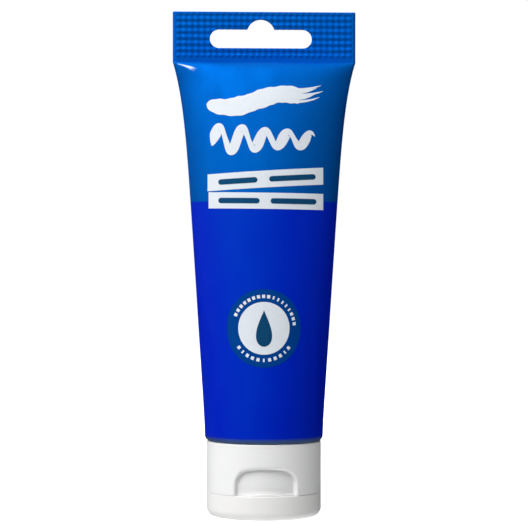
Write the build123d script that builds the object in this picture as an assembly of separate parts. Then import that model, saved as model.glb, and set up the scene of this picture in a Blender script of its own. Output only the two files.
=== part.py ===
from build123d import *
import os

# A squeeze tube of acrylic paint that stands on its flip-top screw cap. Millimetres.
# The origin is the centre of the face it stands on, +Z runs up to the crimped tail, -Y is the front.

# Driving dimensions: the tube
TUBE_HEIGHT = 149.6
SLEEVE_RADIUS = 17.5
FILM = 0.45
SLEEVE_FOOT_Z = 22.4
SLEEVE_FOOT_ROUND = 1.2
SLEEVE_LIP = 0.8
TAPER_START_Z = 25.2
INNER_TOP_SHARE = 0.9995

# Driving dimensions: the crimped tail and its hang slot
CRIMP_WIDTH = 54.4
CRIMP_HEIGHT = 15.0
CRIMP_THICK = 1.2
CRIMP_FLARE = 0.27
FLARE_POWER = 10
CLOSING_POWER = 0.36
SLOT_X = -1.0
SLOT_WIDTH = 30.4
SLOT_HEIGHT = 5.6
SLOT_Z = 141.6
SLOT_BUMP_RADIUS = 4.15
SLOT_BUMP_Z = 143.2

# Driving dimensions: the shoulder, its neck and the thread
NECK_TIP_Z = 10.0
NECK_ROOT_Z = 20.0
NECK_RADIUS = 5.6
NECK_BORE_RADIUS = 4.0
THREAD_PITCH = 2.5
THREAD_DEPTH = 0.9
THREAD_ROOT_WIDTH = 1.15
THREAD_CREST_WIDTH = 0.55
THREAD_BITE = 0.15
NECK_THREAD_Z = 11.6
NECK_THREAD_TURNS = 2.25
CAP_THREAD_TURNS = 1.5
SHOULDER_FLAT_Z = 22.9
SHOULDER_FLAT = 1.0
SHOULDER_EDGE = 0.8
SHOULDER_WALL = 1.35

# Driving dimensions: the cap
CAP_RADIUS = 17.0
CAP_RIM_Z = 22.3
CAP_RIM_ROUND = 0.35
CAP_WALL = 1.3
SPLIT_Z = 7.25
SPLIT_GAP = 0.1
SPLIT_ROUND = 0.12
DECK = 1.5
COLLAR_RADIUS = 6.8
COLLAR_WALL = 1.5
COLLAR_TOP_Z = 18.6
NOZZLE_RADIUS = 3.4
NOZZLE_BORE_RADIUS = 2.0
NOZZLE_TIP_Z = 3.5
NOZZLE_TIP_RADIUS = 2.7
NOZZLE_DRAFT = 0.3
NOZZLE_BEVEL = 0.4
LATCH_RING_RADIUS = 14.9
LATCH_RING_WALL = 1.0
LATCH_RING_DROP = 1.6
LATCH_RING_BACK_Y = 11.0
LID_WALL = 1.8
LID_PLATE = 1.4
LID_ROUND = 2.5
LID_INNER_ROUND = 1.2
PLUG_RADIUS = 1.85
PLUG_FOOT_RADIUS = 2.15
PLUG_TIP_RADIUS = 1.4
PLUG_TIP_Z = 5.4

# Driving dimensions: the thumb recess and the lid's thumb tab
RECESS_DEPTH = 1.6
RECESS_WALL = 1.4
RECESS_PLANE_Y = 12.0
RECESS_HALF_WIDTH = 8.15
RECESS_TOP_HALF_WIDTH = 7.75
RECESS_TOP_Z = 13.4
RECESS_CORNER = 2.8
RECESS_DRAFT = 25
RECESS_EDGE_ROUND = 0.5
RECESS_FLOOR_ROUND = 0.6
RECESS_RUN_OUT = 4.0
PAD_HALF_WIDTH = 10.8
PAD_TOP_Z = 16.9
TAB_HALF_WIDTH = 5.0
TAB_RISE = 0.7
TAB_GAP = 0.2

# Driving dimensions: the hinge at the back
HINGE_Y = 15.2
HINGE_POCKET_FOOT_Z = 3.0
HINGE_POCKET_TOP_Z = 14.2
BACK_PAD_HALF_WIDTH = 9.0
BACK_PAD_WALL = 1.5
BACK_PAD_TOP_Z = 15.2
FILM_HINGE_X = 5.0
FILM_HINGE_WIDTH = 3.2
FILM_HINGE_HEIGHT = 1.3
FILM_HINGE_THICK = 0.35
FILM_HINGE_GROOVE = 0.15
STRAP_WIDTH = 4.0
STRAP_THICK = 0.5
STRAP_BOW = 1.1
STRAP_HALF_SPAN = 3.7

# Clearances, the seal, the foil and the paint
OVERSHOOT = 1.0
TOUCH_GAP = 0.02
FILL_GAP = 0.05
SEAL_GAP = 0.1
SEAL_THICK = 0.95
SEAL_INNER_RADIUS = 2.5
SEAL_RADIUS = 6.2
FOIL_THICK = 0.1
FOIL_RADIUS = 5.3
FILL_TOP_Z = 109.6

# Values worked out from the ones above
CRIMP_Z = TUBE_HEIGHT - CRIMP_HEIGHT
BASE_FOOT_Z = SPLIT_Z + SPLIT_GAP / 2
LID_TOP_Z = SPLIT_Z - SPLIT_GAP / 2
DECK_TOP_Z = BASE_FOOT_Z + DECK
RECESS_FLOOR_RADIUS = CAP_RADIUS - RECESS_DEPTH
INNER_RADIUS = SLEEVE_RADIUS - FILM
INNER_ROUND = SLEEVE_FOOT_ROUND - FILM
BEND_RADIUS = SLEEVE_RADIUS - SLEEVE_FOOT_ROUND
LOW = (Align.CENTER, Align.CENTER, Align.MIN)
CORNER = (Align.MIN, Align.MIN, Align.MIN)


def half_width(share):
    """Half the sleeve's width at a share, 0 to 1, of the way from the taper's start to the crimp."""
    rise = (1 - CRIMP_FLARE) * share + CRIMP_FLARE * share**FLARE_POWER
    return SLEEVE_RADIUS + (CRIMP_WIDTH / 2 - SLEEVE_RADIUS) * rise


def half_depth(share):
    """Half the sleeve's depth there. The film's girth stays nearly constant, so it closes late and fast."""
    thinnest = CRIMP_THICK / 2
    return thinnest + (SLEEVE_RADIUS - thinnest) * (1 - share) ** CLOSING_POWER


def taper(inset, last_share=1, levels=20):
    """A solid of the tapering part of the sleeve, set in from the film's outer face."""
    sections = [Pos(0, 0, TAPER_START_Z) * Circle(SLEEVE_RADIUS - inset)]
    shares = [1 - (1 - level / levels) ** 2.5 for level in range(1, levels)]
    for share in shares + [last_share]:
        oval = Ellipse(half_width(share) - inset, half_depth(share) - inset)
        z = TAPER_START_Z + share * (CRIMP_Z - TAPER_START_Z)
        sections.append(Pos(0, 0, z) * oval)
    return loft(sections, ruled=True)


def disc(radius, low, high):
    return Pos(0, 0, low) * Cylinder(radius, high - low, align=LOW)


def ring(inner, outer, low, high):
    return disc(outer, low, high) - disc(inner, low, high)


def block(x, y, z):
    """A box from (low, high) pairs along each axis."""
    size = [high - low for low, high in (x, y, z)]
    return Pos(x[0], y[0], z[0]) * Box(*size, align=CORNER)


def turned(*lines):
    """A solid turned about Z from an outline of radius and height."""
    return revolve(Plane.XZ * make_face(Curve() + list(lines)), Axis.Z)


def thread(root_radius, crest_radius, low, turns):
    """A right-hand trapezoid ridge on a cylinder. A crest inside the root makes an internal thread."""
    path = Helix(THREAD_PITCH, turns * THREAD_PITCH, root_radius, center=(0, 0, low))
    outward = 1 if crest_radius > root_radius else -1
    section = Polygon(
        (-THREAD_BITE, -THREAD_ROOT_WIDTH / 2),
        (THREAD_DEPTH, -THREAD_CREST_WIDTH / 2),
        (THREAD_DEPTH, THREAD_CREST_WIDTH / 2),
        (-THREAD_BITE, THREAD_ROOT_WIDTH / 2),
        align=None,
    )
    start = Plane(origin=path @ 0, x_dir=(outward, 0, 0), z_dir=path % 0)
    return sweep(start * section, path=path, is_frenet=True)


def hang_slot():
    """The wide slot with a round bump above its middle, for a shop's peg."""
    slot = Pos(SLOT_X, SLOT_Z) * SlotOverall(SLOT_WIDTH, SLOT_HEIGHT)
    bump = Pos(SLOT_X, SLOT_BUMP_Z) * Circle(SLOT_BUMP_RADIUS)
    return extrude(Plane.XZ * (slot + bump), CRIMP_THICK, both=True)


def make_sleeve():
    """The film: a foot that wraps round the shoulder's edge, a taper and the crimp."""
    foot = SLEEVE_FOOT_Z
    wall_foot = foot + SLEEVE_FOOT_ROUND
    lip = BEND_RADIUS - SLEEVE_LIP
    foot_ring = turned(
        Line((INNER_RADIUS, TAPER_START_Z), (SLEEVE_RADIUS, TAPER_START_Z)),
        Line((SLEEVE_RADIUS, TAPER_START_Z), (SLEEVE_RADIUS, wall_foot)),
        RadiusArc((SLEEVE_RADIUS, wall_foot), (BEND_RADIUS, foot), SLEEVE_FOOT_ROUND),
        Line((BEND_RADIUS, foot), (lip, foot)),
        Line((lip, foot), (lip, foot + FILM)),
        Line((lip, foot + FILM), (BEND_RADIUS, foot + FILM)),
        RadiusArc((BEND_RADIUS, foot + FILM), (INNER_RADIUS, wall_foot), -INNER_ROUND),
        Line((INNER_RADIUS, wall_foot), (INNER_RADIUS, TAPER_START_Z)),
    )
    crimp = block(
        (-CRIMP_WIDTH / 2, CRIMP_WIDTH / 2),
        (-CRIMP_THICK / 2, CRIMP_THICK / 2),
        (CRIMP_Z, TUBE_HEIGHT),
    )
    return foot_ring + (taper(0) - taper(FILM, INNER_TOP_SHARE)) + crimp - hang_slot()


def make_shoulder():
    """The moulded shoulder inside the sleeve's foot, with the neck that the cap screws onto."""
    edge = INNER_RADIUS - TOUCH_GAP
    bend = edge - INNER_ROUND
    flat = SHOULDER_FLAT_Z
    edge_top = flat + INNER_ROUND + SHOULDER_EDGE
    inside = flat + SHOULDER_WALL
    body = turned(
        Polyline((NECK_BORE_RADIUS, NECK_TIP_Z), (NECK_RADIUS, NECK_TIP_Z), (NECK_RADIUS, NECK_ROOT_Z)),
        Polyline((NECK_RADIUS, NECK_ROOT_Z), (bend - SHOULDER_FLAT, flat), (bend, flat)),
        RadiusArc((bend, flat), (edge, flat + INNER_ROUND), -INNER_ROUND),
        Polyline((edge, flat + INNER_ROUND), (edge, edge_top), (bend - SHOULDER_FLAT, inside)),
        Polyline(
            (bend - SHOULDER_FLAT, inside),
            (NECK_BORE_RADIUS, NECK_ROOT_Z + SHOULDER_WALL),
            (NECK_BORE_RADIUS, NECK_TIP_Z),
        ),
    )
    return body + thread(NECK_RADIUS, NECK_RADIUS + THREAD_DEPTH, NECK_THREAD_Z, NECK_THREAD_TURNS)


def make_paint():
    """The paint, settled towards the cap, with an air space under the crimp."""
    edge = INNER_RADIUS - FILL_GAP
    bore = NECK_BORE_RADIUS - FILL_GAP
    cone_edge = BEND_RADIUS - TOUCH_GAP - SHOULDER_FLAT
    cone_foot = NECK_ROOT_Z + SHOULDER_WALL + FILL_GAP
    inside = SHOULDER_FLAT_Z + SHOULDER_WALL + FILL_GAP
    rim = SHOULDER_FLAT_Z + INNER_ROUND + SHOULDER_EDGE + FILL_GAP
    foot = turned(
        Polyline(
            (0, NECK_TIP_Z + FILL_GAP),
            (bore, NECK_TIP_Z + FILL_GAP),
            (bore, cone_foot),
            (cone_edge, inside),
            (edge, rim),
            (edge, TAPER_START_Z),
            (0, TAPER_START_Z),
            close=True,
        )
    )
    reach = (-CRIMP_WIDTH / 2, CRIMP_WIDTH / 2)
    air = block(reach, reach, (FILL_TOP_Z, TUBE_HEIGHT))
    return foot + (taper(FILM + FILL_GAP, INNER_TOP_SHARE) - air)


def cut_hinge(half):
    """Cuts the hinge's flat across the back of one half of the cap, and its two notches at the split."""
    reach = CAP_RADIUS + OVERSHOOT
    half -= block((-reach, reach), (HINGE_Y, reach), (HINGE_POCKET_FOOT_Z, HINGE_POCKET_TOP_Z))
    side = FILM_HINGE_WIDTH / 2 + SEAL_GAP
    deep = HINGE_Y - FILM_HINGE_THICK - SEAL_GAP
    rise = FILM_HINGE_HEIGHT / 2
    for x in (-FILM_HINGE_X, FILM_HINGE_X):
        half -= block((x - side, x + side), (deep, reach), (SPLIT_Z - rise, SPLIT_Z + rise))
    return half


def back_pad(low, high):
    """The thicker wall inside the hinge's flat."""
    x = (-BACK_PAD_HALF_WIDTH, BACK_PAD_HALF_WIDTH)
    pad = block(x, (HINGE_Y - BACK_PAD_WALL, CAP_RADIUS), (low, high))
    return pad & disc(CAP_RADIUS - CAP_WALL / 2, low, high)


def thumb_recess():
    """The arch cut into the front of the cap: drafted walls round a floor that follows the cap."""
    below = BASE_FOOT_Z - RECESS_RUN_OUT
    arch = Polygon(
        (-RECESS_HALF_WIDTH, below),
        (RECESS_HALF_WIDTH, below),
        (RECESS_TOP_HALF_WIDTH, RECESS_TOP_Z),
        (-RECESS_TOP_HALF_WIDTH, RECESS_TOP_Z),
        align=None,
    )
    arch = fillet(arch.vertices().group_by(Axis.Y)[-1], RECESS_CORNER)
    depth = CAP_RADIUS + OVERSHOOT - RECESS_PLANE_Y
    wedge = extrude(Plane.XZ.offset(RECESS_PLANE_Y) * arch, depth, taper=-RECESS_DRAFT)
    return wedge - disc(RECESS_FLOOR_RADIUS, 0, CAP_RIM_Z)


def edges_on(solid, radius, low, high):
    """Edges at the front of a solid whose every point is at a radius and between two heights."""

    def lies_on(edge):
        points = [edge @ share for share in (0, 0.25, 0.5, 0.75, 1)]
        return all(
            abs((p.X**2 + p.Y**2) ** 0.5 - radius) < 0.01 and low < p.Z < high and p.Y < 0
            for p in points
        )

    return solid.edges().filter_by(lies_on)


def make_cap_base():
    """The screwed-on half of the cap: skirt, deck, nozzle, threaded collar, latch ring and recess."""
    shell = ring(CAP_RADIUS - CAP_WALL, CAP_RADIUS, BASE_FOOT_Z, CAP_RIM_Z)
    shell += ring(NOZZLE_BORE_RADIUS, CAP_RADIUS, BASE_FOOT_Z, DECK_TOP_Z)
    shell = fillet(shell.edges().group_by(Axis.Z)[-1], CAP_RIM_ROUND)
    pad = ring(RECESS_FLOOR_RADIUS - RECESS_WALL, CAP_RADIUS - CAP_WALL / 2, BASE_FOOT_Z, PAD_TOP_Z)
    pad &= block((-PAD_HALF_WIDTH, PAD_HALF_WIDTH), (-CAP_RADIUS, 0), (BASE_FOOT_Z, PAD_TOP_Z))
    shell = shell + pad + back_pad(BASE_FOOT_Z, BACK_PAD_TOP_Z) - thumb_recess()
    inside_recess = (BASE_FOOT_Z + SPLIT_GAP, PAD_TOP_Z)
    shell = fillet(edges_on(shell, CAP_RADIUS, *inside_recess), RECESS_EDGE_ROUND)
    shell = fillet(edges_on(shell, RECESS_FLOOR_RADIUS, *inside_recess), RECESS_FLOOR_ROUND)
    shell = cut_hinge(shell)
    collar = ring(COLLAR_RADIUS, COLLAR_RADIUS + COLLAR_WALL, DECK_TOP_Z, COLLAR_TOP_Z)
    start = NECK_THREAD_Z + THREAD_PITCH / 2
    collar += thread(COLLAR_RADIUS, COLLAR_RADIUS - THREAD_DEPTH, start, CAP_THREAD_TURNS)
    nozzle = turned(
        Polyline(
            (NOZZLE_BORE_RADIUS, NOZZLE_TIP_Z),
            (NOZZLE_TIP_RADIUS, NOZZLE_TIP_Z),
            (NOZZLE_RADIUS - NOZZLE_DRAFT, NOZZLE_TIP_Z + NOZZLE_BEVEL),
            (NOZZLE_RADIUS, BASE_FOOT_Z),
            (NOZZLE_BORE_RADIUS, BASE_FOOT_Z),
            close=True,
        )
    )
    latch_low = BASE_FOOT_Z - LATCH_RING_DROP
    latch = ring(LATCH_RING_RADIUS - LATCH_RING_WALL, LATCH_RING_RADIUS, latch_low, BASE_FOOT_Z)
    reach = (-CAP_RADIUS, CAP_RADIUS)
    latch &= block(reach, (-CAP_RADIUS, LATCH_RING_BACK_Y), (latch_low, BASE_FOOT_Z))
    return shell + collar + nozzle + latch


def make_tab():
    """The low curved tab on the lid's rim that a thumb pushes, inside the recess."""
    radius = (TAB_HALF_WIDTH**2 + TAB_RISE**2) / (2 * TAB_RISE)
    hump = Pos(0, LID_TOP_Z + TAB_RISE - radius) * Circle(radius)
    hump = extrude(Plane.XZ * hump, CAP_RADIUS)
    return hump & ring(
        RECESS_FLOOR_RADIUS + TAB_GAP, CAP_RADIUS - TAB_GAP, LID_TOP_Z, LID_TOP_Z + TAB_RISE
    )


def make_cap_lid():
    """The flip-up lid that the tube stands on, with its plug and thumb tab."""
    outside = disc(CAP_RADIUS, 0, LID_TOP_Z)
    outside = fillet(outside.edges().group_by(Axis.Z)[0], LID_ROUND)
    outside = fillet(outside.edges().group_by(Axis.Z)[-1], SPLIT_ROUND)
    hollow = disc(CAP_RADIUS - LID_WALL, LID_PLATE, LID_TOP_Z)
    hollow = fillet(hollow.edges().group_by(Axis.Z)[0], LID_INNER_ROUND)
    shell = cut_hinge(outside - hollow + back_pad(LID_PLATE, LID_TOP_Z))
    plug = turned(
        Polyline(
            (0, LID_PLATE),
            (PLUG_FOOT_RADIUS, LID_PLATE),
            (PLUG_RADIUS, NOZZLE_TIP_Z),
            (PLUG_TIP_RADIUS, PLUG_TIP_Z),
            (0, PLUG_TIP_Z),
            close=True,
        )
    )
    return shell + make_tab() + plug


def make_film_hinge(x):
    """A thin web that joins cap and lid across the split and bends as the lid opens."""
    side, rise = FILM_HINGE_WIDTH / 2, FILM_HINGE_HEIGHT / 2
    z = (SPLIT_Z - rise + TOUCH_GAP, SPLIT_Z + rise)
    web = block((x - side, x + side), (HINGE_Y - FILM_HINGE_THICK, HINGE_Y), z)
    groove = Rot(0, 90, 0) * Cylinder(FILM_HINGE_GROOVE, FILM_HINGE_WIDTH)
    return web - Pos(x, HINGE_Y, SPLIT_Z) * groove


def make_strap():
    """The bowed strap between the film hinges, which snaps the lid open and shut."""
    radius = (STRAP_HALF_SPAN**2 + STRAP_BOW**2) / (2 * STRAP_BOW)
    bow = Cylinder(radius, STRAP_WIDTH) - Cylinder(radius - STRAP_THICK, STRAP_WIDTH)
    bow = Pos(0, HINGE_Y + STRAP_BOW - radius, SPLIT_Z) * Rot(0, 90, 0) * bow
    return bow & block((-STRAP_WIDTH, STRAP_WIDTH), (HINGE_Y + TOUCH_GAP, CAP_RADIUS), (0, CAP_RIM_Z))


seal_foot = DECK_TOP_Z + SEAL_GAP
nodes = {
    "tube_sleeve": make_sleeve(),
    "tube_shoulder": make_shoulder(),
    "foil_membrane": disc(FOIL_RADIUS, NECK_TIP_Z - FOIL_THICK, NECK_TIP_Z),
    "paint_fill": make_paint(),
    "sealing_ring": ring(SEAL_INNER_RADIUS, SEAL_RADIUS, seal_foot, seal_foot + SEAL_THICK),
    "cap_base": make_cap_base(),
    "cap_lid": make_cap_lid(),
    "film_hinge_left": make_film_hinge(-FILM_HINGE_X),
    "film_hinge_right": make_film_hinge(FILM_HINGE_X),
    "hinge_spring_strap": make_strap(),
}

os.makedirs("parts", exist_ok=True)
for name, shape in nodes.items():
    shape.label = name
    export_step(shape, f"parts/{name}.step")
    print(name, "solids", len(shape.solids()), "volume", round(shape.volume, 1))
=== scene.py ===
import math

import bpy
import numpy as np
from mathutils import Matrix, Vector
from mathutils.geometry import delaunay_2d_cdt


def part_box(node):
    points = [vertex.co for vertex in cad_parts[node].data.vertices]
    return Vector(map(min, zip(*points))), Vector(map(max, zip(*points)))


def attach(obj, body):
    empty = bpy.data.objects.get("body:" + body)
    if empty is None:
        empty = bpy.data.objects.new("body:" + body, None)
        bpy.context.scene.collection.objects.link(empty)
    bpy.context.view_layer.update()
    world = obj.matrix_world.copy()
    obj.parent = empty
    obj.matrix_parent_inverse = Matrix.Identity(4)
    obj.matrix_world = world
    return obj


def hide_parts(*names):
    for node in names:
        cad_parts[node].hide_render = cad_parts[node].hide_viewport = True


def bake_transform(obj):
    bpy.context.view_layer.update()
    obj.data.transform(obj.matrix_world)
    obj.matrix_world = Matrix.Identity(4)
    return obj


# A squeeze tube of acrylic paint on its flip-top cap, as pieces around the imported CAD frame.
# Metres, +Z up, the front faces -Y.

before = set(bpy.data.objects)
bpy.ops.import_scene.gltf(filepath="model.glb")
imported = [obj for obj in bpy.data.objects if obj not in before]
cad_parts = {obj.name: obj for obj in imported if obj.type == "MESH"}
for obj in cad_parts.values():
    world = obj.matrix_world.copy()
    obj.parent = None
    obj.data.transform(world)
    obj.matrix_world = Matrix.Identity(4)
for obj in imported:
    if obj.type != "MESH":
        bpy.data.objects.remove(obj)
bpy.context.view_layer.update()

MM = 0.001

# The sleeve, from its CAD node
sleeve_low, sleeve_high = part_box("tube_sleeve")
FOOT_Z = sleeve_low.z
TOP_Z = sleeve_high.z
RADIUS = sleeve_high.y
CRIMP_HALF_WIDTH = sleeve_high.x
CRIMP_Z = TOP_Z - 15.0 * MM
CRIMP_HALF_THICK = 0.6 * MM
FOOT_ROUND = 1.2 * MM
FOOT_LIP = 0.8 * MM
FILM = 0.45 * MM
TAPER_Z = FOOT_Z + 2.8 * MM
TAPER_EASE = 0.03
CRIMP_FLARE = 0.27
FLARE_POWER = 10
CLOSING_POWER = 0.36
CORNER_POWER = 160

# The sleeve's mesh
COLUMNS = 221
BODY_ROWS = 90
CRIMP_ROWS = 62
CAVITY_ROWS = 20
ROW_POWER = 1.7
TOP_BEVEL = 0.12 * MM
TOP_INSET = 0.08 * MM
CAVITY_GAP = 0.4 * MM
SHARP_COLUMN = 0.9985

# The hang slot in the crimp
SLOT_X = -1.0 * MM
SLOT_Z = TOP_Z - 8.0 * MM
SLOT_HALF_WIDTH = 15.2 * MM
SLOT_HALF_HEIGHT = 2.8 * MM
SLOT_BUMP_RADIUS = 4.15 * MM
SLOT_BUMP_Z = SLOT_Z + 1.6 * MM
CUTTER_REACH = 3 * MM

# The embossing on the crimp
EMBOSS_PITCH = 1.82 * MM
EMBOSS_DEPTH = 0.16 * MM
EMBOSS_FOOT = 1.3 * MM
EMBOSS_EDGE = 0.9 * MM
EMBOSS_FADE = 0.5 * MM
EMBOSS_TOP = 0.8 * MM
EMBOSS_RIM_FADE = 0.4 * MM
EMBOSS_POWER = 1.2

# The crease under the crimp's left corner
CREASE_X = -25.9 * MM
CREASE_Z = CRIMP_Z - 0.55 * MM
CREASE_TURN = -19.5
CREASE_LENGTH = 6.2 * MM
CREASE_SPREAD = 0.13
CREASE_TIP = 0.12 * MM
CREASE_HEIGHT = 0.12 * MM

# Dents in the front of the film: x, z, width, height and depth in mm (below 0 for a ridge)
DENTS = (
    (13.2, 43.0, 1.1, 15.0, 0.16),
    (15.2, 40.0, 0.8, 12.0, -0.1),
    (12.0, 88.0, 6.0, 16.0, 0.22),
    (-13.5, 74.0, 5.0, 20.0, 0.14),
    (4.0, 78.0, 9.0, 9.0, 0.12),
    (-6.0, 126.5, 9.0, 3.0, 0.1),
)

# The print
BAND_Z = 93.0 * MM
# Below this height the film's rounded foot is darkened: painted shade where it curls in against the
# cap
FOOT_SHADE_Z = FOOT_Z + 1.2 * MM
INK_LIFT = 0.03 * MM
INK_THICK = 0.03 * MM
SECOND_LIFT = INK_LIFT * 2.2
THIRD_LIFT = INK_LIFT * 3.6
INK_SPACING = 1.1 * MM
LEAST_AREA = 1e-13

# The hinge at the back of the cap
HINGE = Vector((0.0, 15.2 * MM, 7.25 * MM))
WEB_X = 5.0 * MM
WEB_HALF_WIDTH = 1.6 * MM
WEB_HALF_HEIGHT = 0.65 * MM
WEB_THICK = 0.35 * MM
WEB_GROOVE = 0.15 * MM
STRAP_HALF_WIDTH = 2.0 * MM
STRAP_HALF_SPAN = 3.7 * MM
STRAP_BOW = 1.1 * MM
STRAP_THICK = 0.5 * MM
STRAP_GAP = 0.02 * MM
STRAP_TIP = 0.05 * MM
EDGE_ROUND = 0.12 * MM

# Where the print's marks lie
PRINT_X = -0.6 * MM
SWASH_Z = 122.0 * MM
SQUIGGLE_Z = 111.2 * MM
SQUIGGLE_TURNS = 4.5
BADGE_Z = 56.0 * MM
BADGE_RADIUS = 11.35 * MM
BADGE_DISC = 7.65 * MM
BADGE_TEXT = 9.25 * MM
BADGE_OVERLAP = 0.3 * MM
DASH_HALF_HEIGHT = 0.5 * MM
DROP_HEIGHT = 5.3 * MM

# The swash's bristle streaks: height, length and half width in millimetres
SWASH_STREAKS = (
    (2.0, 6.4, 0.36),
    (1.15, 5.0, 0.42),
    (0.25, 6.9, 0.44),
    (-0.7, 4.4, 0.4),
    (-1.6, 5.8, 0.36),
)

# The pale strips' corners, and their bars' ends, heights and slopes, in millimetres
STRIP_CORNERS = (
    [(-16.3, 95.95), (17.7, 98.0), (17.7, 103.0), (-16.3, 100.9)],
    [(-16.0, 90.9), (17.7, 90.5), (17.7, 95.25), (-16.0, 95.65)],
)
STRIP_BARS = (
    ((-13.2, -1.8), 98.55, 0.06),
    ((1.6, 15.4), 98.55, 0.06),
    ((-13.2, -1.2), 93.2, -0.011),
    ((2.0, 15.6), 93.2, -0.011),
)
BAR_START = -13.2
BAR_HALF_HEIGHT = 0.8

# The badge's dashes, in degrees: first, last and count on each arc, and their lengths
DASH_ARCS = ((155, 8, 17), (217, 322, 11))
LONG_DASH = 5.6
SHORT_DASH = 3.0

# The camera
CAMERA_DISTANCE = 0.59
SEEN_HEIGHT = 158.04 * MM
CAMERA_Z = 74.2 * MM
CAMERA_TURN = math.radians(-2.3)
CAMERA_ROLL = math.radians(-0.06)

# The lamps' powers in watts, the stage's glow, and the band's share of metallic ink
KEY_POWER = 13.5
FRONT_POWER = 9.2
TOP_POWER = 4.5
LEFT_POWER = 7.5
RIGHT_POWER = 2.3
REAR_POWER = 7.0
AIM_Z = 0.07
STAGE_GLOW = 0.76
BOUNCE_POWER = 21.0
BAND_METALLIC = 0.78


def smoothstep(low, high, value):
    """0 below low, 1 above high, and a smooth rise between them."""
    t = np.clip((value - low) / (high - low), 0, 1)
    return t * t * (3 - 2 * t)


# ---------------------------------------------------------------- the sleeve's shape


def share_at(z):
    """How far z is from the taper's start, 0, to the crimp, 1, easing in at the start."""
    share = (np.asarray(z, float) - TAPER_Z) / (CRIMP_Z - TAPER_Z)
    return np.clip((share + np.sqrt(share * share + TAPER_EASE * TAPER_EASE)) / 2, 0, 1)


def half_width(share):
    """The film widens steadily, and flares out just below the crimp."""
    spread = (1 - CRIMP_FLARE) * share + CRIMP_FLARE * share**FLARE_POWER
    return RADIUS + (CRIMP_HALF_WIDTH - RADIUS) * spread


def half_depth(share):
    """The film's girth stays nearly constant, so it closes late and fast, just below the crimp."""
    return CRIMP_HALF_THICK + (RADIUS - CRIMP_HALF_THICK) * (1 - share) ** CLOSING_POWER


def depth_at(across, share):
    """Depth of the film's outer face at a share across the half width, -1 to 1."""
    flat = CRIMP_HALF_THICK * smoothstep(0.93, 1.0, share)
    bulge = half_depth(share) - flat
    sharpness = 0.5 + 0.35 * share**7
    roundness = np.clip(1 - across * across, 0, 1)
    edge = np.sqrt(np.clip(1 - np.abs(across) ** CORNER_POWER, 0, 1))
    return flat * edge + bulge * roundness**sharpness


def front(x, z):
    """The film's front face: its y at x and z."""
    share = share_at(z)
    return -depth_at(x / half_width(share), share) - dents(x, z)


def columns_across(count, share):
    """Shares across the half width: even steps round the foot, even steps in x at the crimp."""
    step = np.linspace(0, 1, count)
    flatness = smoothstep(0.45, 1.0, share)
    even = 2 * step - 1
    even[1], even[-2] = -SHARP_COLUMN, SHARP_COLUMN
    return (1 - flatness) * -np.cos(math.pi * step) + flatness * even


def emboss(x, z):
    """The waffle pressed into the crimp by its jaws: raised points on a square lattice."""
    wave = np.cos(2 * math.pi * x / EMBOSS_PITCH) + np.cos(2 * math.pi * z / EMBOSS_PITCH)
    foot = CRIMP_Z + EMBOSS_FOOT
    rise = smoothstep(foot, foot + EMBOSS_FADE, z)
    fall = 1 - smoothstep(TOP_Z - EMBOSS_TOP, TOP_Z - EMBOSS_RIM_FADE, z)
    reach = CRIMP_HALF_WIDTH - EMBOSS_EDGE
    side = 1 - smoothstep(reach - EMBOSS_RIM_FADE, reach, np.abs(x))
    peak = np.sign(wave) * np.abs(wave / 2) ** EMBOSS_POWER
    return EMBOSS_DEPTH * peak * rise * fall * side


def crease(x, z):
    """A low ridge in the front of the film, fanning out of the crimp's left corner."""
    turn = math.radians(CREASE_TURN)
    along = (x - CREASE_X) * math.cos(turn) + (z - CREASE_Z) * math.sin(turn)
    aside = (z - CREASE_Z) * math.cos(turn) - (x - CREASE_X) * math.sin(turn)
    share = along / CREASE_LENGTH
    span = smoothstep(0, 0.3, share) * (1 - smoothstep(0.6, 1.3, share))
    reach = 2 * (CREASE_TIP + CREASE_SPREAD * np.maximum(along, 0))
    return CREASE_HEIGHT * span * np.exp(-((aside / reach) ** 2))


def dents(x, z):
    """Soft dents and folds in the filled part, where the tube has been handled."""
    depth = 0 * x
    for middle_x, middle_z, wide, tall, sink in DENTS:
        near = ((x - middle_x * MM) / (wide * MM)) ** 2 + ((z - middle_z * MM) / (tall * MM)) ** 2
        depth = depth - sink * MM * np.exp(-near)
    return depth


def film_ring(z, share, inset, count, lift=False):
    """A closed ring of points round the film: the front from left to right, then the back.

    inset is how far in from the outer face it lies, and lift adds the embossing.
    """
    across = columns_across(count, float(share))
    x = across * (half_width(share) - inset)
    y = depth_at(across, share) * (1 - inset / half_depth(share))
    bump = emboss(x, z) if lift else 0 * x
    fold = 0 if inset else crease(x, z) + dents(x, z)
    front_side = np.stack([x, -(y + bump + fold), np.full_like(x, z)], axis=1)
    back_side = np.stack([x, y + bump, np.full_like(x, z)], axis=1)[1:-1][::-1]
    return np.concatenate([front_side, back_side])


def mesh_object(name, points, faces, smooth_angle=35):
    """A smooth-shaded object from points and faces, with edges sharper than an angle kept sharp."""
    mesh = bpy.data.meshes.new(name)
    mesh.from_pydata([tuple(p) for p in points], [], faces)
    mesh.validate()
    mesh.shade_smooth()
    mesh.set_sharp_from_angle(angle=math.radians(smooth_angle))
    made = bpy.data.objects.new(name, mesh)
    bpy.context.scene.collection.objects.link(made)
    return made


def bridge(first, second, count, outward=True):
    """Quads between two rings of count points, given the index that each starts at."""
    quads = []
    for i in range(count):
        j = (i + 1) % count
        quad = (first + i, first + j, second + j, second + i)
        quads.append(quad if outward else quad[::-1])
    return quads


def close_flat(start, columns, outward=True):
    """Closes a flattened ring by stitching its front to its back, column by column."""
    count = 2 * columns - 2
    quads = []
    for i in range(columns - 1):
        far = [(start + (count - i) % count), (start + (count - i - 1) % count)]
        quad = [start + i, start + i + 1, far[1], far[0]]
        quad = list(dict.fromkeys(quad))
        quads.append(quad if outward else quad[::-1])
    return quads


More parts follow.
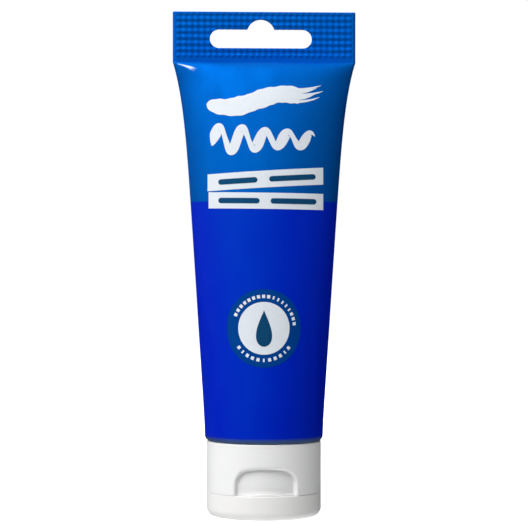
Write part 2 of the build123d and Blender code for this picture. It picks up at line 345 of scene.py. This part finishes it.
def sleeve_rings(columns):
    """The film's outer rings, from the lip under the shoulder to the crimp's top, then the inner.

    Also returns how many of the rings are outer ones.
    """
    rings = []
    bend = RADIUS - FOOT_ROUND

    def add_round(radius, z):
        flat = film_ring(z, 0.0, 0, columns)[:, :2] * (radius / RADIUS)
        rings.append(np.column_stack([flat, np.full(len(flat), z)]))

    add_round(bend - FOOT_LIP, FOOT_Z)
    for angle in np.linspace(0, 90, 7)[:-1]:
        turn = math.radians(angle)
        z = FOOT_Z + FOOT_ROUND * (1 - math.cos(turn))
        add_round(bend + FOOT_ROUND * math.sin(turn), z)
    body_foot = FOOT_Z + FOOT_ROUND
    for step in np.linspace(0, 1, BODY_ROWS):
        z = CRIMP_Z - (CRIMP_Z - body_foot) * (1 - step) ** ROW_POWER
        rings.append(film_ring(z, share_at(z), 0, columns))
    for z in np.linspace(CRIMP_Z, TOP_Z - TOP_BEVEL, CRIMP_ROWS)[1:]:
        rings.append(film_ring(z, 1.0, 0, columns, lift=True))
    rings.append(film_ring(TOP_Z, 1.0, TOP_INSET, columns))
    outer = len(rings)
    cavity_top = CRIMP_Z - CAVITY_GAP
    for step in np.linspace(1, 0, CAVITY_ROWS):
        z = cavity_top - (cavity_top - body_foot) * (1 - step) ** ROW_POWER
        rings.append(film_ring(z, share_at(z), FILM, columns))
    inner_round = FOOT_ROUND - FILM
    for angle in (60, 30, 0):
        turn = math.radians(angle)
        add_round(
            bend + inner_round * math.sin(turn),
            FOOT_Z + FILM + inner_round * (1 - math.cos(turn)),
        )
    add_round(bend - FOOT_LIP, FOOT_Z + FILM)
    return rings, outer


def slot_cutter():
    """A prism of the hang slot's outline: round ends, and a round bump above its middle."""
    r = SLOT_HALF_HEIGHT
    reach = SLOT_HALF_WIDTH - r
    outline = []
    for turn in np.linspace(math.pi / 2, 3 * math.pi / 2, 25):
        outline.append((-reach + r * math.cos(turn), r * math.sin(turn)))
    for turn in np.linspace(-math.pi / 2, math.pi / 2, 25):
        outline.append((reach + r * math.cos(turn), r * math.sin(turn)))
    lift = SLOT_BUMP_Z - SLOT_Z
    start = math.asin((r - lift) / SLOT_BUMP_RADIUS)
    for turn in np.linspace(start, math.pi - start, 33):
        x, z = SLOT_BUMP_RADIUS * math.cos(turn), SLOT_BUMP_RADIUS * math.sin(turn)
        outline.append((x, lift + z))
    count = len(outline)
    points = []
    for y in (-CUTTER_REACH, CUTTER_REACH):
        points += [(SLOT_X + x, y, SLOT_Z + z) for x, z in outline]
    ends = [tuple(range(count)), tuple(range(count, 2 * count))[::-1]]
    return mesh_object("slot_cutter", points, bridge(0, count, count, outward=False) + ends)


def baked(piece):
    """Applies a piece's modifiers to its mesh."""
    depsgraph = bpy.context.evaluated_depsgraph_get()
    mesh = bpy.data.meshes.new_from_object(piece.evaluated_get(depsgraph))
    piece.modifiers.clear()
    piece.data = mesh
    return piece


def make_sleeve():
    """The whole film as one closed skin, with the hang slot cut through its crimp."""
    rings, outer = sleeve_rings(COLUMNS)
    count = 2 * COLUMNS - 2
    faces = []
    for i in range(len(rings)):
        if i == outer - 1:
            faces += close_flat(i * count, COLUMNS)
        elif i == len(rings) - 1:
            faces += bridge(i * count, 0, count)
        else:
            faces += bridge(i * count, (i + 1) * count, count)
    faces += close_flat(outer * count, COLUMNS, outward=False)
    sleeve = mesh_object("film_sleeve", np.concatenate(rings), faces)
    cutter = slot_cutter()
    cut = sleeve.modifiers.new("slot", "BOOLEAN")
    cut.operation, cut.object, cut.solver = "DIFFERENCE", cutter, "EXACT"
    baked(sleeve)
    bpy.data.objects.remove(cutter)
    sleeve.data.shade_smooth()
    sleeve.data.set_sharp_from_angle(angle=math.radians(50))
    return sleeve


# ---------------------------------------------------------------- the print


def wrapped(u, z):
    """The x of a point that lies u along the film from its middle, where it is nearly round."""
    radius = half_width(share_at(z))
    return radius * np.sin(u / radius)


def winding(points, loop):
    """How often a loop goes round each point."""
    start = loop[None, :, :] - points[:, None, :]
    end = np.roll(start, -1, axis=1)
    cross = start[..., 0] * end[..., 1] - start[..., 1] * end[..., 0]
    dot = (start * end).sum(axis=2)
    return np.rint(np.arctan2(cross, dot).sum(axis=1) / (2 * math.pi))


def inside(points, loops):
    """Which of the points are inside the loops, where clockwise loops are holes."""
    total = sum(winding(points, loop) for loop in loops)
    return np.abs(total) > 0.5


def divided(loop, spacing):
    """A loop with its long edges divided, so that it follows the film round."""
    points = []
    for start, end in zip(loop, np.roll(loop, -1, axis=0)):
        steps = max(1, math.ceil(np.linalg.norm(end - start) / spacing))
        points += [start + (end - start) * k / steps for k in range(steps)]
    return np.array(points)


def ink(name, loops, lift=INK_LIFT, spacing=INK_SPACING):
    """A thin closed skin of ink on the film's front, inside loops of (x, z) points.

    A loop that runs clockwise is a hole in the ones around it.
    """
    loops = [divided(np.asarray(loop, float), spacing) for loop in loops]
    low = np.min([loop.min(axis=0) for loop in loops], axis=0)
    high = np.max([loop.max(axis=0) for loop in loops], axis=0)
    across, up = [np.arange(low[k] + spacing / 2, high[k], spacing) for k in (0, 1)]
    grid = np.array([(x, z) for x in across for z in up])
    grid = grid[inside(grid, loops)]
    points, edges = [], []
    for loop in loops:
        start = len(points)
        points += [tuple(p) for p in loop]
        edges += [(start + k, start + (k + 1) % len(loop)) for k in range(len(loop))]
    points += [tuple(p) for p in grid]
    flat = [Vector((x / MM, z / MM)) for x, z in points]
    found, _, triangles, _, _, _ = delaunay_2d_cdt(flat, edges, [], 0, 1e-4, False)
    where = np.array([tuple(p) for p in found]) * MM
    triangles = np.array([tuple(t) for t in triangles])
    corner = where[triangles]
    middle = corner.mean(axis=1)
    first, second = corner[:, 1] - corner[:, 0], corner[:, 2] - corner[:, 0]
    area = first[:, 0] * second[:, 1] - first[:, 1] * second[:, 0]
    triangles = triangles[inside(middle, loops) & (np.abs(area) > LEAST_AREA)]
    used = np.unique(triangles)
    place = {int(old): new for new, old in enumerate(used)}
    faces = [tuple(place[int(v)] for v in t) for t in triangles]
    where = where[used]
    y = front(where[:, 0], where[:, 1])
    count = len(where)
    top = np.column_stack([where[:, 0], y - lift - INK_THICK, where[:, 1]])
    bottom = np.column_stack([where[:, 0], y - lift, where[:, 1]])
    sides = dict.fromkeys(side for face in faces for side in zip(face, face[1:] + face[:1]))
    rim = [(a, b) for a, b in sides if (b, a) not in sides]
    walls = [(b, a, a + count, b + count) for a, b in rim]
    backs = [tuple(v + count for v in face[::-1]) for face in faces]
    return mesh_object(name, np.concatenate([top, bottom]), faces + backs + walls)


def arc(x, z, radius, start, end, steps):
    """Points on a circular arc, in degrees, counterclockwise from the right."""
    turns = np.radians(np.linspace(start, end, steps))
    return [(x + radius * math.cos(t), z + radius * math.sin(t)) for t in turns]


def bar(left, right, half_height):
    """A bar with round ends that runs between two points."""
    (x0, z0), (x1, z1) = left, right
    tilt = math.degrees(math.atan2(z1 - z0, x1 - x0))
    right_end = arc(x1, z1, half_height, tilt - 90, tilt + 90, 13)
    left_end = arc(x0, z0, half_height, tilt + 90, tilt + 270, 13)
    return right_end + left_end


def stroke(spine, widths):
    """The outline of a brush stroke along a spine of points with a half width at each."""
    spine, widths = np.asarray(spine, float), np.asarray(widths, float)
    along = np.gradient(spine, axis=0)
    along /= np.linalg.norm(along, axis=1)[:, None]
    side = np.column_stack([-along[:, 1], along[:, 0]]) * widths[:, None]
    return np.concatenate([spine - side, (spine + side)[::-1]])


def on_disc(loop, x, z):
    """A flat outline laid on the film round a centre, which narrows it as the film turns away."""
    loop = np.asarray(loop, float)
    return np.column_stack([x + wrapped(loop[:, 0], z + loop[:, 1]), z + loop[:, 1]])


def swash():
    """The upper mark: a broad paintbrush swash that ends in dry bristle streaks."""
    t = np.linspace(0, 1, 60)
    spine = np.column_stack(
        [
            PRINT_X - 16.6 * MM + 27.5 * MM * t,
            SWASH_Z + 1.6 * MM * np.sin(2 * math.pi * (t * 0.9 + 0.52)) + 1.2 * MM * t,
        ]
    )
    width = 3.1 * MM * np.sqrt(np.clip(1 - (1 - t) ** 6, 0, 1)) * (1 - 0.22 * t)
    width += 0.12 * MM * np.sin(23 * t) + 0.08 * MM * np.sin(57 * t)
    loops = [stroke(spine, np.maximum(width, 0.05 * MM))]
    end = spine[-1]
    for rise, length, half in SWASH_STREAKS:
        s = np.linspace(0, 1, 24)
        line = np.column_stack(
            [
                end[0] - 1.5 * MM + (length + 1.5) * MM * s,
                end[1] + rise * MM + 1.5 * MM * s * s,
            ]
        )
        taper = half * MM * (1 - s**2.2) + 0.05 * MM
        loops.append(stroke(line, taper))
    return loops


def squiggle():
    """The lower mark: one wavy brush line."""
    t = np.linspace(0, 1, 260)
    swing = 2 * math.pi * SQUIGGLE_TURNS * t
    x = PRINT_X - 15.0 * MM + 30.2 * MM * t
    z = SQUIGGLE_Z + 3.9 * MM * np.sin(swing - 0.5) * (0.75 + 0.25 * np.cos(3.1 * t + 0.4))
    width = (1.15 + 0.4 * np.sin(swing + 1.2) + 0.1 * np.sin(47 * t)) * MM
    width *= np.clip(np.minimum(t / 0.03, (1 - t) / 0.09), 0.05, 1) ** 0.6
    return [stroke(np.column_stack([x, z]), width)]


def strip(corners, steps=12):
    """A four-sided strip with its long sides divided."""
    outline = []
    for a, b in zip(corners, corners[1:] + corners[:1]):
        for share in np.linspace(0, 1, steps)[:-1]:
            outline.append((a[0] + (b[0] - a[0]) * share, a[1] + (b[1] - a[1]) * share))
    return np.array(outline)


def label_bars():
    """The plain bars on the two strips, in place of words."""
    bars = []
    for (left, right), left_z, slope in STRIP_BARS:
        ends = [
            (PRINT_X + x * MM, (left_z + slope * (x - BAR_START)) * MM)
            for x in (left + BAR_HALF_HEIGHT, right - BAR_HALF_HEIGHT)
        ]
        bars.append(bar(ends[0], ends[1], BAR_HALF_HEIGHT * MM))
    return bars


def badge_dashes():
    """Plain dashes round the badge's ring, in place of words."""
    inner, outer = BADGE_TEXT - DASH_HALF_HEIGHT, BADGE_TEXT + DASH_HALF_HEIGHT
    dashes = []
    for first, last, count in DASH_ARCS:
        for turn in np.linspace(first, last, count):
            half = (LONG_DASH if round(turn) % 3 else SHORT_DASH) / 2
            far = arc(0, 0, outer, turn - half, turn + half, 5)
            near = arc(0, 0, inner, turn + half, turn - half, 5)
            dashes.append(far + near)
    return dashes


def circle(radius, steps, clockwise=False):
    ends = (360, 0) if clockwise else (0, 360)
    return arc(0, 0, radius, *ends, steps + 1)[:-1]


def make_print():
    """White marks, two pale strips with plain bars, and a round badge with a drop."""

    def on_badge(loops):
        return [on_disc(loop, PRINT_X, BADGE_Z) for loop in loops]

    strips = [
        strip([(PRINT_X + x * MM, z * MM) for x, z in corners]) for corners in STRIP_CORNERS
    ]
    ring = [circle(BADGE_RADIUS, 96), circle(BADGE_DISC - BADGE_OVERLAP, 72, clockwise=True)]
    disc = [circle(BADGE_DISC, 72)]
    dashes, drop = badge_dashes(), [droplet(DROP_HEIGHT)]
    return [
        (ink("ink_swash", swash()), "white"),
        (ink("ink_squiggle", squiggle()), "white"),
        (ink("ink_label_strips", strips), "white"),
        (ink("ink_strip_bars", label_bars(), SECOND_LIFT), "navy"),
        (ink("ink_badge_ring", on_badge(ring)), "badge"),
        (ink("ink_badge_disc", on_badge(disc), SECOND_LIFT), "white"),
        (ink("ink_badge_marks", on_badge(dashes), SECOND_LIFT), "white"),
        (ink("ink_badge_drop", on_badge(drop), THIRD_LIFT), "navy"),
    ]


def droplet(height):
    """A drop of paint: a round foot that draws up to a point."""
    t = np.linspace(0, 2 * math.pi, 73)[:-1]
    x = 0.62 * height * np.sin(t) * np.sin(t / 2) ** 1.4
    z = height * np.cos(t)
    return np.column_stack([-x, z])


# ---------------------------------------------------------------- the hinge


def swept(name, rows, half_width, x):
    """A thin strip on the hinge from rows of (z, outer y, inner y), with its long edges rounded."""
    points = []
    for z, outer, inner in rows:
        round_off = min(0.3 * (outer - inner), EDGE_ROUND)
        left, right = x - half_width, x + half_width
        section = [
            (left, inner + round_off),
            (left + round_off, inner),
            (right - round_off, inner),
            (right, inner + round_off),
            (right, outer - round_off),
            (right - round_off, outer),
            (left + round_off, outer),
            (left, outer - round_off),
        ]
        points += [(px, py, z) for px, py in section]
    faces = []
    for row in range(len(rows) - 1):
        faces += bridge(8 * row, 8 * (row + 1), 8)
    last = 8 * (len(rows) - 1)
    faces += [tuple(range(8))[::-1], tuple(range(last, last + 8))]
    piece = mesh_object(name, points, faces)
    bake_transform(piece)
    return piece


def make_film_web(name, x):
    """One of the two film hinges: a web with a groove across its middle, where it folds."""
    rows = []
    for share in np.linspace(-1, 1, 25):
        groove = WEB_GROOVE * math.exp(-((share / 0.22) ** 2))
        rows.append((HINGE.z + share * WEB_HALF_HEIGHT, HINGE.y - groove, HINGE.y - WEB_THICK))
    return swept(name, rows, WEB_HALF_WIDTH, x)


def make_spring_strap():
    """The bowed strap between the film hinges, thinning into the cap's flat at both ends."""
    radius = (STRAP_HALF_SPAN**2 + STRAP_BOW**2) / (2 * STRAP_BOW)
    rows = []
    for share in np.sin(np.linspace(-math.pi / 2, math.pi / 2, 41)):
        z = share * STRAP_HALF_SPAN
        outer = math.sqrt(radius**2 - z**2) - (radius - STRAP_BOW)
        inner = math.sqrt((radius - STRAP_THICK) ** 2 - z**2) - (radius - STRAP_BOW)
        inner = max(inner, STRAP_GAP)
        rows.append((HINGE.z + z, HINGE.y + max(outer, inner + STRAP_TIP), HINGE.y + inner))
    return swept("spring_strap", rows, STRAP_HALF_WIDTH, 0.0)


# ---------------------------------------------------------------- camera, light and stage


def look_at(item, target):
    """Points an object's -Z axis at a target."""
    item.rotation_mode = "QUATERNION"
    item.rotation_quaternion = (Vector(target) - item.location).to_track_quat("-Z", "Y")


def make_camera():
    """Level with the tube's middle, near enough to look down on the cap and up at the crimp."""
    data = bpy.data.cameras.new("camera")
    data.sensor_width = 36.0
    data.lens = data.sensor_width * CAMERA_DISTANCE / SEEN_HEIGHT
    data.clip_start, data.clip_end = 0.01, 20
    camera = bpy.data.objects.new("camera", data)
    bpy.context.scene.collection.objects.link(camera)
    x, y = CAMERA_DISTANCE * math.sin(CAMERA_TURN), -CAMERA_DISTANCE * math.cos(CAMERA_TURN)
    camera.location = (x, y, CAMERA_Z)
    camera.rotation_euler = (math.pi / 2, CAMERA_ROLL, CAMERA_TURN)
    bpy.context.scene.camera = camera


def make_light(name, azimuth, elevation, distance, size, power):
    """A soft panel aimed at the tube. Its azimuth is 0 at the front and negative at the left."""
    data = bpy.data.lights.new(name, "AREA")
    data.shape = "RECTANGLE"
    data.size, data.size_y = size
    data.energy = power
    light = bpy.data.objects.new(name, data)
    bpy.context.scene.collection.objects.link(light)
    turn, rise = math.radians(azimuth), math.radians(elevation)
    light.location = (
        distance * math.sin(turn) * math.cos(rise),
        -distance * math.cos(turn) * math.cos(rise),
        distance * math.sin(rise) + AIM_Z,
    )
    look_at(light, (0, 0, AIM_Z))
    light.visible_camera = False
    return light


def make_stage():
    """A round pale floor that sweeps up into a wall on every side."""
    reach, sweep, rise, turns = 2.6, 1.2, 2.6, 96
    profile = [(0.25, 0.0), (0.7, 0.0), (reach - sweep, 0.0)]
    for angle in np.linspace(0, 90, 19)[1:]:
        turn = math.radians(angle)
        profile.append((reach - sweep + sweep * math.sin(turn), sweep * (1 - math.cos(turn))))
    profile.append((reach, rise))
    points = [(0.0, 0.0, 0.0)]
    for radius, z in profile:
        for step in range(turns):
            turn = 2 * math.pi * step / turns
            points.append((radius * math.cos(turn), radius * math.sin(turn), z))
    faces = [(0, 1 + k, 1 + (k + 1) % turns) for k in range(turns)]
    for row in range(len(profile) - 1):
        faces += bridge(1 + row * turns, 1 + (row + 1) * turns, turns, outward=False)
    floor = mesh_object("studio_floor", points, faces)
    floor.visible_glossy = False
    floor.visible_diffuse = False
    floor.visible_shadow = False
    return floor


def make_world(strength):
    """A plain white surrounding light."""
    world = bpy.data.worlds.new("studio")
    world.use_nodes = True
    background = world.node_tree.nodes["Background"]
    background.inputs["Color"].default_value = (1, 1, 1, 1)
    background.inputs["Strength"].default_value = strength
    bpy.context.scene.world = world


# ---------------------------------------------------------------- materials


class Shader:
    """A small helper that adds nodes to one material and links them."""

    def __init__(self, name):
        self.material = bpy.data.materials.new(name)
        self.material.use_nodes = True
        self.tree = self.material.node_tree
        self.surface = self.tree.nodes["Principled BSDF"]

    def add(self, kind, inputs=None, **settings):
        node = self.tree.nodes.new("ShaderNode" + kind)
        for key, value in settings.items():
            setattr(node, key, value)
        for key, value in (inputs or {}).items():
            self.feed(node.inputs[key], value)
        return node

    def feed(self, socket, value):
        if isinstance(value, bpy.types.NodeSocket):
            self.tree.links.new(value, socket)
        else:
            socket.default_value = value

    def set(self, **values):
        for key, value in values.items():
            self.feed(self.surface.inputs[key.replace("_", " ")], value)

    def math(self, operation, *values, clamp=False):
        node = self.add("Math", operation=operation, use_clamp=clamp)
        for socket, value in zip(node.inputs, values):
            self.feed(socket, value)
        return node.outputs[0]

    def mix(self, factor, first, second, blend="MIX"):
        node = self.add("Mix", data_type="RGBA", blend_type=blend)
        self.feed(node.inputs[0], factor)
        self.feed(node.inputs[6], first)
        self.feed(node.inputs[7], second)
        return node.outputs[2]

    def ramp(self, value, low, high, to_low=0.0, to_high=1.0):
        node = self.add("MapRange", interpolation_type="SMOOTHSTEP")
        for socket, number in zip(node.inputs, (value, low, high, to_low, to_high)):
            self.feed(socket, number)
        return node.outputs[0]

    def place(self):
        return self.add("TexCoord").outputs["Object"]

    def noise(self, scale, detail=3.0, stretch=(1, 1, 1), roughness=0.5):
        where = self.add("Mapping", {"Vector": self.place(), "Scale": stretch})
        node = self.add(
            "TexNoise",
            {"Vector": where.outputs[0], "Scale": scale, "Detail": detail, "Roughness": roughness},
        )
        return node.outputs["Fac"]

    def bump(self, height, distance, strength=1.0):
        node = self.add("Bump", {"Height": height, "Distance": distance, "Strength": strength})
        self.set(Normal=node.outputs[0])


def rgb(red, green, blue):
    """An opaque linear colour."""
    return (red, green, blue, 1.0)


def stretched_corner(s):
    """How glossy the film is at the crease under the crimp's left corner: 1 on it, 0 off it."""
    where = s.add("SeparateXYZ", {"Vector": s.place()}).outputs
    x = s.math("SUBTRACT", where["X"], CREASE_X)
    z = s.math("SUBTRACT", where["Z"], CREASE_Z)
    turn = math.radians(CREASE_TURN)
    along = s.math("MULTIPLY_ADD", x, math.cos(turn), s.math("MULTIPLY", z, math.sin(turn)))
    aside = s.math("MULTIPLY_ADD", z, math.cos(turn), s.math("MULTIPLY", x, -math.sin(turn)))
    widening = s.math("MULTIPLY_ADD", along, CREASE_SPREAD, CREASE_TIP)
    spread = s.math("DIVIDE", s.math("ABSOLUTE", aside), widening)
    body = s.ramp(spread, 0.45, 1.0, 1.0, 0.0)
    start = s.ramp(along, 0.0, 0.3 * MM)
    end = s.ramp(along, 0.62 * CREASE_LENGTH, CREASE_LENGTH, 1.0, 0.0)
    front_side = s.math("LESS_THAN", where["Y"], 0.0)
    return s.math("MULTIPLY", s.math("MULTIPLY", body, start), s.math("MULTIPLY", end, front_side))


def printed_film():
    """The sleeve: a band of pearly blue ink over ultramarine paint behind clear film."""
    s = Shader("printed_film")
    height = s.add("SeparateXYZ", {"Vector": s.place()}).outputs["Z"]
    mottle = s.noise(90, 4)
    band = s.mix(mottle, rgb(0.0, 0.122, 0.51), rgb(0.0, 0.138, 0.57))
    # Painted light and shade: the crimp takes a tone of its own, full on its plain strip at the
    # bottom and fading towards its top. It stands in for how the light falls on the upright,
    # embossed crimp, which carries the same print as the band.
    pressed = s.ramp(height, CRIMP_Z + 1.5 * MM, TOP_Z, 0.0, 0.6)
    crimp = s.mix(pressed, rgb(0.0, 0.12, 0.6), band)
    band = s.mix(s.math("GREATER_THAN", height, CRIMP_Z), band, crimp)
    body = s.mix(mottle, rgb(0.0, 0.008, 0.45), rgb(0.0, 0.011, 0.5))
    printed = s.math("GREATER_THAN", height, BAND_Z)
    colour = s.mix(printed, body, band)
    # Painted shade: the film's rounded foot, where it curls in against the cap, is darkened to a
    # dull navy.
    foot = s.ramp(height, FOOT_SHADE_Z - 0.4 * MM, FOOT_SHADE_Z + 0.6 * MM)
    colour = s.mix(foot, rgb(0.04, 0.066, 0.2), colour)
    s.set(Base_Color=colour, Metallic=s.math("MULTIPLY", printed, BAND_METALLIC))
    s.set(IOR=1.42, Specular_IOR_Level=0.8)
    s.surface.inputs["Specular Tint"].default_value = rgb(0.0, 0.62, 1.0)
    haze = s.noise(260, 5, stretch=(1, 1, 0.35))
    s.set(Coat_Weight=stretched_corner(s), Coat_Roughness=0.12, Coat_IOR=2.0)
    haze = s.ramp(haze, 0.3, 0.7, 0.44, 0.52)
    s.set(Roughness=s.math("MULTIPLY_ADD", printed, 0.2, haze))
    s.bump(s.noise(140, 3), 0.02 * MM, 0.6)
    return s.material


def ink_material(name, light, dark, sheen, roughness=0.45):
    """Screen-printed ink, a little uneven, with the film's satin."""
    s = Shader(name)
    s.set(Base_Color=s.mix(s.noise(900, 3), dark, light), IOR=1.4)
    s.surface.inputs["Specular Tint"].default_value = sheen
    s.set(Roughness=s.ramp(s.noise(500, 3), 0.3, 0.7, roughness - 0.04, roughness + 0.04))
    s.bump(s.noise(2400, 2), 0.004 * MM, 0.5)
    return s.material


def cap_plastic(name, colour, shade):
    """Satin moulded plastic, slightly translucent, with a faint cloudiness."""
    s = Shader(name)
    cloud = s.noise(60, 3)
    s.set(Base_Color=s.mix(cloud, colour, shade), Subsurface_Weight=0.12, Subsurface_Scale=1.5 * MM)
    s.surface.inputs["Subsurface Radius"].default_value = (1.0, 0.95, 0.9)
    s.set(Roughness=s.ramp(s.noise(700, 4), 0.3, 0.7, 0.32, 0.42), IOR=1.49)
    s.bump(s.noise(1500, 3), 0.01 * MM, 0.5)
    return s.material


def aluminium_foil():
    """Thin foil with fine rolling lines and a few soft creases."""
    s = Shader("aluminium_foil")
    lines = s.noise(300, 4, stretch=(1, 14, 1))
    s.set(Base_Color=s.mix(lines, rgb(0.72, 0.73, 0.74), rgb(0.86, 0.87, 0.88)), Metallic=1.0)
    s.set(Roughness=s.ramp(lines, 0.3, 0.7, 0.2, 0.36))
    s.bump(s.noise(420, 4), 0.05 * MM, 0.7)
    return s.material


def sealing_foam():
    """Closed-cell foam: pale, dull and finely pitted."""
    s = Shader("sealing_foam")
    cells = s.add("TexVoronoi", {"Vector": s.place(), "Scale": 4200.0}).outputs["Distance"]
    s.set(Base_Color=s.mix(cells, rgb(0.66, 0.67, 0.68), rgb(0.86, 0.86, 0.85)))
    s.set(Roughness=s.ramp(cells, 0.0, 0.6, 0.95, 0.75), IOR=1.45)
    s.bump(cells, 0.05 * MM, 0.8)
    return s.material


def wet_paint():
    """Thick ultramarine paint with a wet gloss and slow folds."""
    s = Shader("wet_paint")
    s.set(Base_Color=s.mix(s.noise(120, 3), rgb(0.0, 0.01, 0.42), rgb(0.0, 0.02, 0.54)), IOR=1.5)
    s.set(Roughness=s.ramp(s.noise(260, 3), 0.3, 0.7, 0.14, 0.3))
    s.bump(s.noise(170, 3, stretch=(1, 1, 0.3)), 0.25 * MM, 0.6)
    return s.material


def stage_material():
    """A matt, pale floor that glows, so that it stays even behind the tube."""
    s = Shader("studio_floor")
    s.set(Base_Color=rgb(0.93, 0.93, 0.93), Roughness=0.9)
    s.surface.inputs["Specular IOR Level"].default_value = 0.0
    s.set(Emission_Color=rgb(1, 1, 1), Emission_Strength=STAGE_GLOW)
    return s.material


# ---------------------------------------------------------------- putting it together


def finish_node(name, material):
    """Gives a CAD node its material."""
    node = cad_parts[name]
    node.data.materials.clear()
    node.data.materials.append(material)


sleeve = make_sleeve()
sleeve.data.materials.append(printed_film())
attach(sleeve, "tube")
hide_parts("tube_sleeve")

white, blue = rgb(1, 1, 1), rgb(0.05, 0.5, 1.0)
inks = {
    "white": ink_material("ink_white", rgb(0.74, 0.79, 0.84), rgb(0.68, 0.73, 0.79), white),
    "navy": ink_material("ink_navy", rgb(0.006, 0.06, 0.15), rgb(0.004, 0.045, 0.12), blue),
    "badge": ink_material("ink_badge_blue", rgb(0.0, 0.048, 0.26), rgb(0.0, 0.04, 0.22), blue),
}
for piece, colour in make_print():
    piece.data.materials.append(inks[colour])
    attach(piece, "tube")

base_plastic = cap_plastic("cap_plastic", rgb(0.88, 0.885, 0.88), rgb(0.85, 0.86, 0.855))
lid_plastic = cap_plastic("lid_plastic", rgb(0.89, 0.885, 0.875), rgb(0.86, 0.855, 0.845))
shoulder_plastic = cap_plastic("shoulder_plastic", rgb(0.8, 0.82, 0.83), rgb(0.74, 0.77, 0.79))
finish_node("cap_base", base_plastic)
finish_node("cap_lid", lid_plastic)
finish_node("tube_shoulder", shoulder_plastic)
finish_node("foil_membrane", aluminium_foil())
finish_node("sealing_ring", sealing_foam())
finish_node("paint_fill", wet_paint())
for node, piece in (
    ("film_hinge_left", make_film_web("film_web_left", -WEB_X)),
    ("film_hinge_right", make_film_web("film_web_right", WEB_X)),
    ("hinge_spring_strap", make_spring_strap()),
):
    piece.data.materials.append(base_plastic)
    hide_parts(node)

floor = make_stage()
floor.data.materials.append(stage_material())
make_camera()
make_world(0.0)
bpy.context.scene.view_settings.view_transform = "Standard"
make_light("key", -50, 42, 1.3, (0.9, 0.9), KEY_POWER)
make_light("front", -8, 48, 1.3, (0.9, 0.7), FRONT_POWER)
make_light("overhead", 0, 90, 1.6, (2.0, 2.0), TOP_POWER)
make_light("left", -108, 38, 1.3, (0.9, 0.9), LEFT_POWER)
make_light("right", 75, 35, 1.3, (0.9, 0.9), RIGHT_POWER)
make_light("rear", 180, 52, 1.3, (1.2, 0.9), REAR_POWER)
bounce = make_light("bounce", 0, -90, 0.9, (1.8, 1.8), BOUNCE_POWER)
bounce.visible_glossy = False
